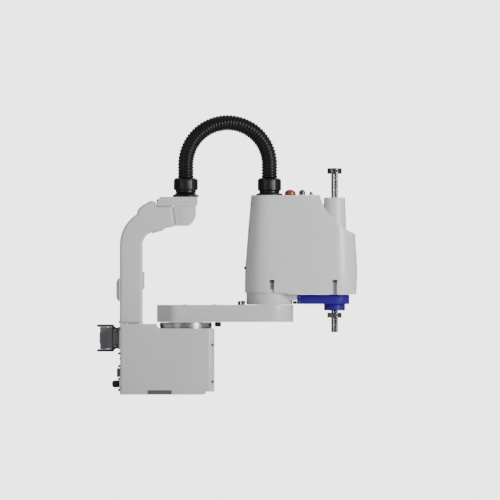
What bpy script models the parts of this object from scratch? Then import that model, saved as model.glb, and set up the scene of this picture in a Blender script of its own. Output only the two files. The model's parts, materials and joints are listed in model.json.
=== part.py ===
"""A four-axis SCARA robot arm with a 400 mm reach, as separate pieces.

The origin is on the first joint's axis in the mounting plane. +X points the way the arm reaches
at rest, +Z is up. Lengths in this file are millimetres; the mesh helpers turn them into metres.
"""
import math

import bmesh
import bpy
from mathutils import Matrix, Vector

MM = 0.001
MERGE = 0.00005  # metres
GAP = 0.3  # clearance between neighbouring pieces

# Driving dimensions
ARM_1_LENGTH = 225.0
ARM_2_LENGTH = 175.0
J2_X = ARM_1_LENGTH
J3_X = ARM_1_LENGTH + ARM_2_LENGTH

BASE_REAR = -177.0
BASE_FRONT = 77.0
BASE_HALF = 77.0
BASE_TOP = 178.0
BASE_REAR_TOP = 190.5
BASE_STEP_X = -75.0
BASE_WALL = 8.0
LIP_X = 50.0
LIP_Z = 8.0

COLUMN_HALF = 36.0
COLUMN_REAR = -177.5
COLUMN_FRONT = -116.0
ELBOW_X = -80.3
ELBOW_Z = 403.0
LID_TOP = 532.3

ARM_1_LOW = 195.6
ARM_1_SPLIT = 226.0
ARM_1_TOP = 241.6
ARM_1_REAR = 77.7  # how far the inner arm reaches behind the first axis
ARM_1_HALF = 64.0

HUB_R = 62.0
HUB_LOW = 242.4
COVER_LOW = 269.5
COVER_REAR_LOW = 274.4
COVER_TOP = 537.0
COVER_WALL = 3.0
BOSS_TOP = 530.5

SHAFT_R = 9.0
SHAFT_LOW = 168.0
SHAFT_TOP = 610.0
COLLAR_R = 19.5
RUN = 0.3  # radial running clearance of a nut on the shaft

LEVER_X = -189.0  # the connector's two locking levers turn on pins here
LEVER_TOP_Z = 174.0
LEVER_BOTTOM_Z = 131.0

CONDUIT_R = 21.0
CONDUIT_FOOT = 583.3
CONDUIT_SPRING = 619.0  # height at which the straight legs end

GREY = (0.42, 0.43, 0.44)
DARK = (0.03, 0.03, 0.035)
BLUE = (0.03, 0.025, 0.28)
STEEL = (0.5, 0.5, 0.52)
HOOD_GREY = (0.1, 0.11, 0.12)
RED = (0.6, 0.08, 0.04)
GREEN = (0.02, 0.1, 0.06)
BOARD = (0.02, 0.16, 0.08)


def clear_scene():
    """Remove whatever the file already holds."""
    for old in list(bpy.data.objects):
        bpy.data.objects.remove(old, do_unlink=True)


def collection(name):
    """A new collection in the scene."""
    made = bpy.data.collections.new(name)
    bpy.context.scene.collection.children.link(made)
    return made


def material(name, colour, roughness, metallic):
    """A Principled BSDF material."""
    made = bpy.data.materials.new(name)
    made.use_nodes = True
    shader = made.node_tree.nodes["Principled BSDF"]
    shader.inputs["Base Color"].default_value = (*colour, 1.0)
    shader.inputs["Roughness"].default_value = roughness
    shader.inputs["Metallic"].default_value = metallic
    return made


def add(name, mesh):
    """A new object, not yet in a collection."""
    return bpy.data.objects.new(name, mesh)


def finish_mesh(name, bm):
    """Turn a bmesh into an object with outward faces."""
    bmesh.ops.recalc_face_normals(bm, faces=bm.faces)
    mesh = bpy.data.meshes.new(name)
    bm.to_mesh(mesh)
    bm.free()
    return add(name, mesh)


def box(name, low, high):
    """A block between two opposite corners."""
    bm = bmesh.new()
    bmesh.ops.create_cube(bm, size=1.0)
    size = [(b - a) * MM for a, b in zip(low, high)]
    centre = [(a + b) * MM / 2 for a, b in zip(low, high)]
    bmesh.ops.scale(bm, vec=size, verts=bm.verts)
    bmesh.ops.translate(bm, vec=centre, verts=bm.verts)
    return finish_mesh(name, bm)


def rod(name, radius, low, high, centre=(0.0, 0.0), axis="Z", sides=32, top_radius=None):
    """A round bar, cone or prism along a row axis; centre is its place on the other two axes."""
    bm = bmesh.new()
    bmesh.ops.create_cone(
        bm,
        cap_ends=True,
        segments=sides,
        radius1=radius * MM,
        radius2=(radius if top_radius is None else top_radius) * MM,
        depth=(high - low) * MM,
    )
    middle = (low + high) / 2
    turn = Matrix.Identity(4)
    place = Vector((centre[0], centre[1], middle))
    if axis == "X":
        turn = Matrix.Rotation(math.pi / 2, 4, "Y")
        place = Vector((middle, centre[0], centre[1]))
    if axis == "Y":
        turn = Matrix.Rotation(-math.pi / 2, 4, "X")
        place = Vector((centre[0], middle, centre[1]))
    bmesh.ops.transform(bm, matrix=Matrix.Translation(place * MM) @ turn, verts=bm.verts)
    return finish_mesh(name, bm)


def turned(name, profile, x, closed=False, sides=32):
    """A shape turned about a vertical axis at x: (radius, height) points, down the outer side."""
    mesh = bpy.data.meshes.new(name)
    points = [(r * MM, 0.0, z * MM) for r, z in profile]
    edges = [(i, i + 1) for i in range(len(points) - 1)]
    if closed:
        edges.append((len(points) - 1, 0))
    mesh.from_pydata(points, edges, [])
    made = add(name, mesh)
    made.location = (x * MM, 0.0, 0.0)
    screw = made.modifiers.new("turn", "SCREW")
    screw.steps = sides
    screw.render_steps = sides
    screw.use_merge_vertices = True
    screw.merge_threshold = MERGE
    return made


def ring(name, outer, inner, low, high, x, sides=32):
    """A plain ring about a vertical axis."""
    profile = [(outer, high), (outer, low), (inner, low), (inner, high)]
    return turned(name, profile, x, closed=True, sides=sides)


def slab(name, outline, low, high, upright=False):
    """A flat outline made thick along Z, or along Y for an upright one, whose points are (x, z)."""
    curve = bpy.data.curves.new(name, "CURVE")
    curve.dimensions = "2D"
    curve.fill_mode = "BOTH"
    curve.extrude = (high - low) * MM / 2
    spline = curve.splines.new("POLY")
    spline.points.add(len(outline) - 1)
    for point, (u, v) in zip(spline.points, outline):
        point.co = (u * MM, v * MM, 0.0, 1.0)
    spline.use_cyclic_u = True
    flat = add(name + "_outline", curve)
    middle = (low + high) * MM / 2
    if upright:
        flat.matrix_world = Matrix.Translation((0, middle, 0)) @ Matrix.Rotation(math.pi / 2, 4, "X")
    else:
        flat.matrix_world = Matrix.Translation((0, 0, middle))
    return meshed(name, flat)


def meshed(name, curve_object):
    """The curve object's own surface as a welded mesh object; the curve is removed."""
    bpy.context.scene.collection.objects.link(curve_object)
    graph = bpy.context.evaluated_depsgraph_get()
    mesh = bpy.data.meshes.new_from_object(curve_object.evaluated_get(graph))
    bm = bmesh.new()
    bm.from_mesh(mesh)
    bmesh.ops.remove_doubles(bm, verts=bm.verts, dist=MERGE)
    bmesh.ops.recalc_face_normals(bm, faces=bm.faces)
    flat = math.radians(0.1)
    bmesh.ops.dissolve_limit(bm, angle_limit=flat, verts=bm.verts, edges=bm.edges)
    bm.to_mesh(mesh)
    bm.free()
    made = add(name, mesh)
    made.matrix_world = curve_object.matrix_world.copy()
    bpy.data.objects.remove(curve_object, do_unlink=True)
    return made


def tube(name, points, radius, sides_level=2):
    """A round tube along points, with filled ends."""
    curve = bpy.data.curves.new(name, "CURVE")
    curve.dimensions = "3D"
    curve.bevel_depth = radius * MM
    curve.bevel_resolution = sides_level
    curve.use_fill_caps = True
    spline = curve.splines.new("POLY")
    spline.points.add(len(points) - 1)
    for point, place in zip(spline.points, points):
        point.co = (*(c * MM for c in place), 1.0)
    return add(name, curve)


def loft(name, rings):
    """A closed skin over outlines of equal point counts, each given as (height, points)."""
    bm = bmesh.new()
    rows = [[bm.verts.new((x * MM, y * MM, z * MM)) for x, y in points] for z, points in rings]
    count = len(rows[0])
    for lower, upper in zip(rows, rows[1:]):
        for i in range(count):
            j = (i + 1) % count
            bm.faces.new((lower[i], lower[j], upper[j], upper[i]))
    bm.faces.new(rows[0])
    bm.faces.new(rows[-1])
    return finish_mesh(name, bm)


def arc(x, y, radius, start, end, steps):
    """Points on an arc, angles in degrees."""
    angles = [math.radians(start + (end - start) * i / steps) for i in range(steps + 1)]
    return [(x + radius * math.cos(a), y + radius * math.sin(a)) for a in angles]


def stadium(x_rear, r_rear, x_front, r_front, steps=14):
    """The outline of a tapered link: two round ends joined by their common tangents."""
    lean = math.degrees(math.acos((r_rear - r_front) / (x_front - x_rear)))
    rear = arc(x_rear, 0.0, r_rear, lean, 360.0 - lean, steps)
    front = arc(x_front, 0.0, r_front, -lean, lean, steps)
    return rear + front


def rounded(x_low, x_high, y_low, y_high, r_low, r_high, steps=5):
    """A rectangle with one corner radius at its low-x end and another at its high-x end."""
    return (
        arc(x_high - r_high, y_high - r_high, r_high, 0, 90, steps)
        + arc(x_low + r_low, y_high - r_low, r_low, 90, 180, steps)
        + arc(x_low + r_low, y_low + r_low, r_low, 180, 270, steps)
        + arc(x_high - r_high, y_low + r_high, r_high, 270, 360, steps)
    )


def soften(piece, width, segments=2, angle=50):
    """Round the sharp edges."""
    bevel = piece.modifiers.new("edges", "BEVEL")
    bevel.width = width * MM
    bevel.segments = segments
    bevel.limit_method = "ANGLE"
    bevel.angle_limit = math.radians(angle)


class Build:
    """Puts pieces and cutters in their collections and on their joint's empty."""

    def __init__(self):
        self.parts = collection("scara_robot_arm")
        self.cutters = collection("scara_cutters")
        self.axes = {"base": None}
        self.finishes = {
            "housing_paint": material("housing_paint", GREY, 0.45, 0.0),
            "duct_paint": material("duct_paint", GREY, 0.5, 0.0),
            "blue_paint": material("blue_paint", BLUE, 0.4, 0.0),
            "black_plastic": material("black_plastic", DARK, 0.5, 0.0),
            "black_rubber": material("black_rubber", DARK, 0.8, 0.0),
            "connector_grey": material("connector_grey", HOOD_GREY, 0.55, 0.0),
            "machined_steel": material("machined_steel", STEEL, 0.3, 1.0),
            "cast_aluminium": material("cast_aluminium", STEEL, 0.5, 1.0),
            "lamp_red": material("lamp_red", RED, 0.3, 0.0),
            "bumper_green": material("bumper_green", GREEN, 0.7, 0.0),
            "circuit_board": material("circuit_board", BOARD, 0.5, 0.0),
        }

    def axis(self, name, x, y, z, parent=None):
        """An empty on a joint's axis."""
        empty = bpy.data.objects.new(name + "_axis", None)
        self.parts.objects.link(empty)
        empty.matrix_world = Matrix.Translation((x * MM, y * MM, z * MM))
        self.axes[name] = empty
        if parent and self.axes[parent]:
            self.hang(empty, self.axes[parent])

    def hang(self, piece, empty):
        """Parent a piece to an empty without moving the piece."""
        bpy.context.view_layer.update()
        piece.parent = empty
        piece.matrix_parent_inverse = empty.matrix_world.inverted()

    def keep(self, piece, finish, body="base"):
        """Make a piece part of the model."""
        self.parts.objects.link(piece)
        piece.data.materials.clear()
        piece.data.materials.append(self.finishes[finish])
        if piece.type == "MESH":
            piece.data.shade_smooth()
            piece.data.set_sharp_from_angle(angle=math.radians(35))
        if self.axes[body]:
            self.hang(piece, self.axes[body])
        return piece

    def boolean(self, piece, tool, operation):
        """Cut a piece with a tool, or join the tool to it."""
        self.cutters.objects.link(tool)
        tool.hide_render = True
        tool.display_type = "WIRE"
        step = piece.modifiers.new(tool.name, "BOOLEAN")
        step.operation = operation
        step.object = tool

    def cut(self, piece, tool):
        self.boolean(piece, tool, "DIFFERENCE")

    def join(self, piece, tool):
        self.boolean(piece, tool, "UNION")


def base_pieces(b):
    """The floor-standing housing with what closes it and what drives the first joint."""
    outline = rounded(BASE_REAR, BASE_FRONT, -BASE_HALF, BASE_HALF, 6, 20)
    housing = slab("base_housing", outline, 0, BASE_REAR_TOP)
    soften(housing, 2.0, segments=1)
    wall = BASE_WALL
    inside = rounded(
        BASE_REAR + wall, BASE_FRONT - wall, -BASE_HALF + wall, BASE_HALF - wall, 4, 12
    )
    b.cut(housing, box("cut_base_step", (BASE_STEP_X, -90, BASE_TOP), (90, 90, 200)))
    b.cut(housing, box("cut_base_lip", (LIP_X, -90, -10), (90, 90, LIP_Z)))
    b.cut(housing, slab("cut_base_inside", inside, -10, BASE_TOP - 10))
    b.cut(housing, box("cut_base_window", (-190, -58, 10), (-160, 58, 184)))
    b.cut(housing, rod("cut_base_bore", 52, 150, 190))
    b.cut(housing, box("cut_base_cable_way", (-166, -22, 150), (-128, 22, 200)))
    for side, name in ((-1, "right"), (1, "left")):
        low, high = sorted((side * 75.0, side * 80.0))
        b.cut(housing, box("cut_recess_" + name, (-103, low, -10), (-38, high, 12)))
    b.keep(housing, "housing_paint")

    plate_outline = rounded(BASE_REAR + wall + GAP, 45, -68.7, 68.7, 4, 4)
    plate = slab("base_bottom_plate", plate_outline, 0, 8)
    for x in (-140, 20):
        for y in (-50, 50):
            b.cut(plate, rod(f"cut_plate_{x}_{y}", 4.25, -5, 20, (x, y), sides=20))
    b.keep(plate, "cast_aluminium")

    panel = box("base_rear_panel", (-177.0, -57.7, 10.3), (-173.0, 57.7, 183.7))
    b.cut(panel, box("cut_panel_top", (-180, -40, 118), (-170, 40, 190)))
    b.cut(panel, box("cut_panel_port", (-180, -12, 47), (-170, 12, 72)))
    b.cut(panel, rod("cut_panel_gland", 8, -180, -170, (0, 29), axis="X", sides=24))
    b.keep(panel, "housing_paint")


def first_drive(b):
    """Motor, reducer and bearing of the first joint, inside and on top of the base."""
    motor = box("j1_motor", (-40, -40, 25), (40, 40, 118))
    soften(motor, 4.0)
    b.keep(motor, "black_plastic")
    profile = [(0, 179.6), (56, 179.6), (56, 194.8), (70, 194.8), (70, 178.3), (50, 178.3)]
    profile += [(50, 118.3), (0, 118.3)]
    b.keep(turned("j1_reducer", profile, 0, sides=44), "machined_steel")
    b.keep(ring("j1_bearing", 55.7, 45.3, 179.9, 194.5, 0), "machined_steel")


def column_pieces(b):
    """The cable duct that rises behind the arm and reaches forward over the first axis."""
    half = COLUMN_HALF
    wall = 3.0
    outer_r = ELBOW_X - COLUMN_REAR
    inner_r = ELBOW_X - COLUMN_FRONT
    post_outline = rounded(COLUMN_REAR, COLUMN_FRONT, -half, half, 8, 10, steps=4)
    post = slab("column_post", post_outline, BASE_REAR_TOP + GAP, ELBOW_Z - GAP)
    hollow = rounded(
        COLUMN_REAR + wall, COLUMN_FRONT - wall, -half + wall, half - wall, 5, 7, steps=2
    )
    b.cut(post, slab("cut_post", hollow, 150, 450))
    b.keep(post, "duct_paint")

    bend = arc(ELBOW_X, ELBOW_Z, outer_r, 180, 90, 12) + arc(ELBOW_X, ELBOW_Z, inner_r, 90, 180, 8)
    elbow = slab("column_elbow", bend, -half, half, upright=True)
    soften(elbow, 4.0)
    way = [(COLUMN_REAR + wall, ELBOW_Z - 20)]
    way += arc(ELBOW_X, ELBOW_Z, outer_r - wall, 180, 90, 12)
    way += [(ELBOW_X + 20, ELBOW_Z + outer_r - wall), (ELBOW_X + 20, ELBOW_Z + inner_r + wall)]
    way += arc(ELBOW_X, ELBOW_Z, inner_r + wall, 90, 180, 8)
    way += [(COLUMN_FRONT - wall, ELBOW_Z - 20)]
    b.cut(elbow, slab("cut_elbow", way, -half + wall, half - wall, upright=True))
    b.keep(elbow, "duct_paint")

    cover_line = [(-130, 495.5), (-124, 504), (-107.6, 517), (-98, 520.5), (-83, 517.6)]
    cover_line += [(-83, ELBOW_Z + outer_r + GAP)]
    cover_line += arc(ELBOW_X, ELBOW_Z, outer_r + GAP + 0.4, 95, 120.5, 5)
    cover = slab("elbow_cover", cover_line, -half + 2, half - 2, upright=True)
    b.keep(cover, "duct_paint")

    top = ELBOW_Z + outer_r
    head_line = [(-80, ELBOW_Z + inner_r), (-59, 442.5), (-54, 448), (-28.3, 453.2)]
    head_line += [(-35.3, 507.9), (-80, 507.9)]
    head = slab("column_head", head_line, -half, half, upright=True)
    soften(head, 2.0, segments=1)
    head_way = [(-90, 444), (-60, 447), (-54, 452), (-20, 458), (-20, top), (-90, top)]
    b.cut(head, slab("cut_head", head_way, -half + wall, half - wall, upright=True))
    b.cut(head, box("cut_head_top", (-72, -30, 490), (-40, 30, 520)))
    b.keep(head, "duct_paint")

    cap_line = [(-28, 453.4), (-24.5, 454)] + arc(-12, 489, 39.4, -62, 0, 8)
    cap_line += [(27.4, 507.9), (-35, 507.9)]
    cap = slab("column_end_cap", cap_line, -half, half, upright=True)
    cap_way = [(-50, 460), (-24, 459)] + arc(-14, 489, 34, -62, 0, 6) + [(20, 520), (-50, 520)]
    b.cut(cap, slab("cut_cap", cap_way, -half + wall, half - wall, upright=True))
    b.keep(cap, "duct_paint")

    lid_line = [(-82, 511), (-68.6, LID_TOP), (31.7, LID_TOP), (31.7, 508.2), (-82, 508.2)]
    lid = slab("column_lid", lid_line, -half - 2, half + 2, upright=True)
    soften(lid, 1.5, segments=1)
    b.cut(lid, box("cut_lid", (-64, -34, 500), (27, 34, LID_TOP - 4)))
    b.cut(lid, rod("cut_lid_way", 18, 500, 550, sides=24))
    b.keep(lid, "duct_paint")

    bump = rounded(251, 314, -20, 20, 14, 14)
    rear = slab("column_rear_cover", [(-z, y) for z, y in bump], -187, -177.8)
    rear.matrix_world = Matrix.Rotation(math.pi / 2, 4, "Y") @ rear.matrix_world
    soften(rear, 3.0)
    b.keep(rear, "duct_paint")


def gland_pieces(b):
    """The two cable glands that hold the conduit's ends, one on each axis."""
    low = LID_TOP + GAP
    profile = [(27.5, 549.7), (27.5, 538), (35.5, 538), (35.5, low), (15, low), (15, 549.7)]
    b.keep(turned("rear_gland_body", profile, 0, closed=True), "black_plastic")
    low = COVER_TOP + GAP
    profile = [(27, 548.2), (27, 541), (35.5, 541), (35.5, low), (15, low), (15, 548.2)]
    flange = turned("front_gland_body", profile, J2_X, closed=True)
    b.keep(flange, "black_plastic", "arm_2")
    for name, x, low, radius, body in (
        ("rear_gland_nut", 0.0, 550.0, 32.5, "base"),
        ("front_gland_nut", J2_X, 548.5, 31.5, "arm_2"),
    ):
        nut = rod(name, radius, low, CONDUIT_FOOT - GAP, (x, 0), sides=12)
        soften(nut, 3.0, segments=1, angle=60)
        b.cut(nut, rod("cut_" + name, 15, 500, 650, (x, 0), sides=32))
        b.keep(nut, "black_plastic", body)


def harness(b):
    """The cable bundle that the duct holds, from the base up to the rear gland."""
    middle_r = ELBOW_X - (COLUMN_REAR + COLUMN_FRONT) / 2
    centre_x = (COLUMN_REAR + COLUMN_FRONT) / 2
    path = [(centre_x, 0, z) for z in (140, 200, 300, 390)]
    path += [(x, 0, z) for x, z in arc(ELBOW_X, ELBOW_Z, middle_r, 175, 95, 6)]
    path += [(x, 0, z) for x, z in arc(-45, 514, 45, 270, 360, 6)]
    path += [(0, 0, 545)]
    b.keep(tube("cable_harness", path, 9), "black_rubber")


def connector_pieces(b):
    """The rectangular connector on the rear panel, and the small sockets under it."""
    housing = box("connector_housing", (-196, -21, 124), (-177.3, 21, 181))
    soften(housing, 1.5, segments=1)
    for name, z in (("top", LEVER_TOP_Z), ("bottom", LEVER_BOTTOM_Z)):
        pin = rod("lever_pin_" + name, 2.1, -25.5, 25.5, (LEVER_X, z), axis="Y", sides=16)
        b.join(housing, pin)
    b.keep(housing, "connector_grey")
    hood = box("connector_hood", (-231, -21, 124), (-196.3, 21, 181))
    soften(hood, 3.0)
    b.cut(hood, rod("cut_hood_way", 11, -240, -215, (0, 152.5), axis="X"))
    b.keep(hood, "connector_grey")
    for name, z, side in (("top", LEVER_TOP_Z, 1), ("bottom", LEVER_BOTTOM_Z, -1)):
        low, high = sorted((z + side * 8.5, z + side * 14.0))
        lever = box("connector_lever_" + name, (-239, -24.5, low), (-193, 24.5, high))
        soften(lever, 2.0)
        for y in (-22.8, 22.8):
            tag = f"{name}_{'left' if y > 0 else 'right'}"
            near, far = sorted((z - side * 5.0, z + side * 11.0))
            b.join(lever, box("cheek_" + tag, (-200, y - 1, near), (-184, y + 1, far)))
            b.cut(lever, rod("cut_" + tag, 2.4, y - 3, y + 3, (LEVER_X, z), axis="Y", sides=16))
        b.keep(lever, "black_plastic", "lever_" + name)
    b.keep(box("signal_socket", (-185.6, -11.5, 47.5), (-172, 11.5, 71.5)), "black_plastic")
    plug = rod("power_plug", 10, -198.5, -177.3, (0, 29), axis="X", sides=24)
    soften(plug, 2.0, segments=1)
    b.keep(plug, "black_rubber")


def arm_1_outline(inset):
    """Straight sides, a round end about the second axis and a chamfered end behind the first."""
    half = ARM_1_HALF - inset
    rear = -ARM_1_REAR + inset
    fillet = 32.0 - inset
    bevel_x = rear + 34.0 + fillet * 0.7071
    upper = arc(bevel_x, half - fillet, fillet, 90, 135, 4)
    step = upper[-1][0] - rear - 4
    upper.append((rear + 4, upper[-1][1] - step))
    upper.append((rear, upper[-1][1] - 6))
    lower = [(x, -y) for x, y in reversed(upper)]
    return arc(J2_X, 0, half, -90, 90, 16) + upper + lower


def arm_1_pieces(b):
    """The inner arm: a casting, its cover, the first output flange and the second drive."""
    shape = arm_1_outline(0)
    casting = slab("arm_1_casting", shape, ARM_1_LOW, ARM_1_SPLIT)
    soften(casting, 2.0, segments=1)
    pocket = arm_1_outline(9)
    b.cut(casting, slab("cut_arm_1", pocket, ARM_1_LOW + 9, 260))
    b.keep(casting, "housing_paint", "arm_1")
    cover = slab("arm_1_cover", shape, ARM_1_SPLIT + GAP, ARM_1_TOP)
    soften(cover, 2.0, segments=1)
    b.cut(cover, slab("cut_arm_1_cover", pocket, 200, ARM_1_TOP - 6))
    b.cut(cover, rod("cut_arm_1_bore", 46, 200, 260, (J2_X, 0)))
    b.keep(cover, "housing_paint", "arm_1")

    b.keep(rod("j1_output_flange", 45, 179.9, ARM_1_LOW - GAP, sides=36), "machined_steel", "arm_1")
    block = box("j1_stop_block", (78, -8, 183), (95, 8, ARM_1_LOW - GAP))
    soften(block, 1.0, segments=1)
    b.keep(block, "black_rubber", "arm_1")

    floor = ARM_1_LOW + 9 + GAP
    profile = [(0, 214), (40, 214), (40, ARM_1_TOP), (45.5, ARM_1_TOP), (45.5, floor), (0, floor)]
    b.keep(turned("j2_reducer", profile, J2_X), "machined_steel", "arm_1")
    b.keep(ring("j2_bearing", 39.7, 31.3, 214.3, 241.3, J2_X), "machined_steel", "arm_1")
    for name, y in (("right", -16), ("left", 16)):
        bolt = rod("j2_stop_bolt_" + name, 6, ARM_1_TOP + GAP, 252.6, (154, y), sides=6)
        soften(bolt, 1.0, segments=1)
        b.keep(bolt, "machined_steel", "arm_1")


def conduit(b):
    """The corrugated hose's plain core: two straight legs and a half circle between the axes."""
    radius = J2_X / 2
    path = [(0, 0, CONDUIT_FOOT), (0, 0, (CONDUIT_FOOT + CONDUIT_SPRING) / 2)]
    path += [(x, 0, z) for x, z in arc(radius, CONDUIT_SPRING, radius, 180, 0, 20)]
    path += [(J2_X, 0, (CONDUIT_FOOT + CONDUIT_SPRING) / 2), (J2_X, 0, CONDUIT_FOOT)]
    b.keep(tube("cable_conduit", path, CONDUIT_R, sides_level=3), "black_rubber", "arm_1")


def cover_rings(inset):
    """Outlines of the outer arm's cover at its changes of slope, moved in by the wall."""
    sections = (
        (COVER_LOW, 66.0, 58.5),
        (330.0, 65.7, 61.4),
        (432.0, 58.4, 55.8),
        (475.0, 54.6, 52.0),
        (COVER_TOP, 49.0, 46.0),
    )
    rings = [
        (z, stadium(J2_X, rear - inset, J3_X, front - inset, steps=12))
        for z, rear, front in sections
    ]
    if inset:
        rings[0] = (COVER_LOW - 10, rings[0][1])
        rings[-1] = (COVER_TOP - inset, rings[-1][1])
    return rings


def slope_block(name, drop):
    """What lies above the cover's slanted nose, moved down by drop."""
    line = [(360, COVER_TOP + 0.5), (370, 508), (403, 465), (434, 443), (456, 432), (480, 420)]
    points = [(355, COVER_TOP + 20)] + [(x, z - drop) for x, z in line] + [(480, 560)]
    return slab(name, points, -90, 90, upright=True)


def arm_2_cover(b):
    """The tall shell over the outer arm's drives, with a round tower about the shaft."""
    cover = loft("arm_2_cover", cover_rings(0.0))
    b.cut(cover, slope_block("cut_nose", 0.0))
    b.join(cover, rod("nose_tower", 32, 430, BOSS_TOP, (J3_X, 0), sides=36, top_radius=28.5))
    hollow = loft("cover_hollow", cover_rings(COVER_WALL))
    b.cut(hollow, slope_block("cut_nose_inside", COVER_WALL + 1.0))
    b.cut(cover, hollow)
    b.cut(cover, rod("cut_tower", 23, 400, 560, (J3_X, 0), sides=36))
    b.cut(cover, rod("cut_gland_way", 18, 500, 560, (J2_X, 0), sides=24))
    b.cut(cover, box("cut_cover_rear", (100, -90, 250), (272, 90, COVER_REAR_LOW)))
    b.keep(cover, "housing_paint", "arm_2")


def arm_2_pieces(b):
    """The outer arm's casting, its two lower housings and what stands on the cover's top."""
    casting = rod("arm_2_casting", HUB_R, HUB_LOW, 280, (J2_X, 0), sides=44)
    deck = slab("arm_2_deck", stadium(J2_X, 60, J3_X, 54), COVER_LOW + 0.2, 284)
    b.join(casting, deck)
    b.cut(casting, rod("cut_deck_bore", 13.5, 250, 300, (J3_X, 0), sides=32))
    b.keep(casting, "housing_paint", "arm_2")
    output = rod("j2_output_flange", 31, 214.3, HUB_LOW - GAP, (J2_X, 0), sides=36)
    b.keep(output, "machined_steel", "arm_2")

    outline = rounded(299, J3_X + 40, -40, 40, 6, 39.9, steps=8)
    housing = slab("wrist_housing", outline, 243.7, COVER_LOW - GAP)
    soften(housing, 2.0, segments=1)
    b.join(housing, rod("wrist_boss", 28.5, 226.8, 250, (J3_X, 0), sides=36))
    b.cut(housing, rod("cut_wrist", 20.5, 200, 300, (J3_X, 0), sides=36))
    b.keep(housing, "blue_paint", "arm_2")
    bumper = box("j2_stop_bumper", (288, -5, 244), (298.7, 5, 252))
    b.keep(bumper, "bumper_green", "arm_2")

    low = COVER_TOP + GAP
    dome = [(0, 552.0)]
    dome += [(15 * math.sin(t), 541 + 11 * math.cos(t)) for t in (0.35, 0.7, 1.05, 1.4)]
    dome += [(15, 541), (15, low), (0, low)]
    b.keep(turned("status_lamp", dome, 281, sides=28), "lamp_red", "arm_2")
    b.keep(ring("brake_button_bezel", 8.75, 6.3, low, 547.5, 313, sides=28), "machined_steel", "arm_2")
    button = rod("brake_release_button", 6.0, 541, 551, (313, 0), sides=24)
    soften(button, 0.8, segments=1)
    b.keep(button, "black_plastic", "brake_button")
    b.keep(rod("air_fitting", 6.0, low, 546, (337, 0), sides=6), "machined_steel", "arm_2")


def arm_2_drives(b):
    """The motors, belts and nuts inside the cover, and the board beside them."""
    motor = box("j2_motor", (J2_X - 30, -30, 284.3), (J2_X + 30, 30, 385))
    soften(motor, 3.0)
    b.keep(motor, "black_plastic", "arm_2")
    pulley_places = {"j3": (300, 22, 378.0), "j4": (300, -22, 345.0)}
    for name, (x, y, pulley_low) in pulley_places.items():
        body = box(f"{name}_motor", (x - 20, y - 20, 284.3), (x + 20, y + 20, pulley_low - 4))
        soften(body, 2.5)
        b.keep(body, "black_plastic", "arm_2")
        drive = rod(f"{name}_motor_pulley", 10, pulley_low, pulley_low + 12, (x, y), sides=28)
        b.keep(drive, "cast_aluminium", f"{name}_motor")
        b.keep(belt(b, f"{name}_belt", (x, y), pulley_low + 1.5), "black_rubber", "arm_2")
    b.keep(ring("ball_nut_pulley", 20, SHAFT_R + RUN, 378, 390, J3_X), "cast_aluminium", "ball_nut")
    b.keep(ring("ball_nut", 16, SHAFT_R + RUN, 390.3, 430, J3_X), "machined_steel", "ball_nut")
    b.keep(ring("ball_nut_bearing", 24, 16.3, 396, 409, J3_X), "machined_steel", "arm_2")

    bracket = box("ball_nut_bracket", (380, -36, 409.3), (424, 36, 417))
    for y in (-33, 33):
        leg = box(f"bracket_leg_{y}", (386, y - 3, 284.3), (414, y + 3, 412))
        b.join(bracket, leg)
    b.cut(bracket, rod("cut_bracket", 16.6, 400, 430, (J3_X, 0), sides=36))
    b.keep(bracket, "cast_aluminium", "arm_2")

    b.keep(ring("wrist_bearing", 20.2, 14.3, 232, 262, J3_X), "machined_steel", "arm_2")
    b.keep(ring("spline_nut", 14, SHAFT_R + RUN, 227.5, 266, J3_X), "machined_steel", "wrist")
    bore = SHAFT_R + RUN
    profile = [(20, 357), (20, 345), (12.5, 345), (12.5, 266.3), (bore, 266.3), (bore, 357)]
    b.keep(turned("wrist_pulley", profile, J3_X, closed=True), "cast_aluminium", "wrist")
    board = box("circuit_board", (240, 46, 300), (335, 47.6, 420))
    b.keep(board, "circuit_board", "arm_2")


def belt(b, name, motor_place, low):
    """A toothless belt loop from a motor pulley to the pulley on the shaft's axis."""
    x, y = motor_place
    span = math.hypot(J3_X - x, y)
    turn = Matrix.Rotation(math.atan2(-y, J3_X - x), 4, "Z")
    place = Matrix.Translation((x * MM, y * MM, 0)) @ turn
    loop = slab(name, stadium(0.0001, 12.4, span, 22.4, steps=12), low, low + 9)
    loop.matrix_world = place @ loop.matrix_world
    inside = slab("cut_" + name, stadium(0.0001, 10.4, span, 20.4, steps=12), low - 5, low + 20)
    inside.matrix_world = place @ inside.matrix_world
    b.cut(loop, inside)
    return loop


def shaft_pieces(b):
    """The ball-screw spline shaft and the two collars that end its stroke."""
    shaft = rod("spline_shaft", SHAFT_R, SHAFT_LOW, SHAFT_TOP, (J3_X, 0), sides=36)
    b.cut(shaft, rod("cut_shaft_bore", 4, 100, 700, (J3_X, 0), sides=16))
    b.keep(shaft, "machined_steel", "shaft")
    for name, low, high in (("upper", 594, 609.5), ("lower", 207, 220.6)):
        collar = ring(f"{name}_stop_collar", COLLAR_R, SHAFT_R + 0.05, low, high, J3_X, sides=36)
        b.keep(collar, "black_plastic", "shaft")


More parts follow.
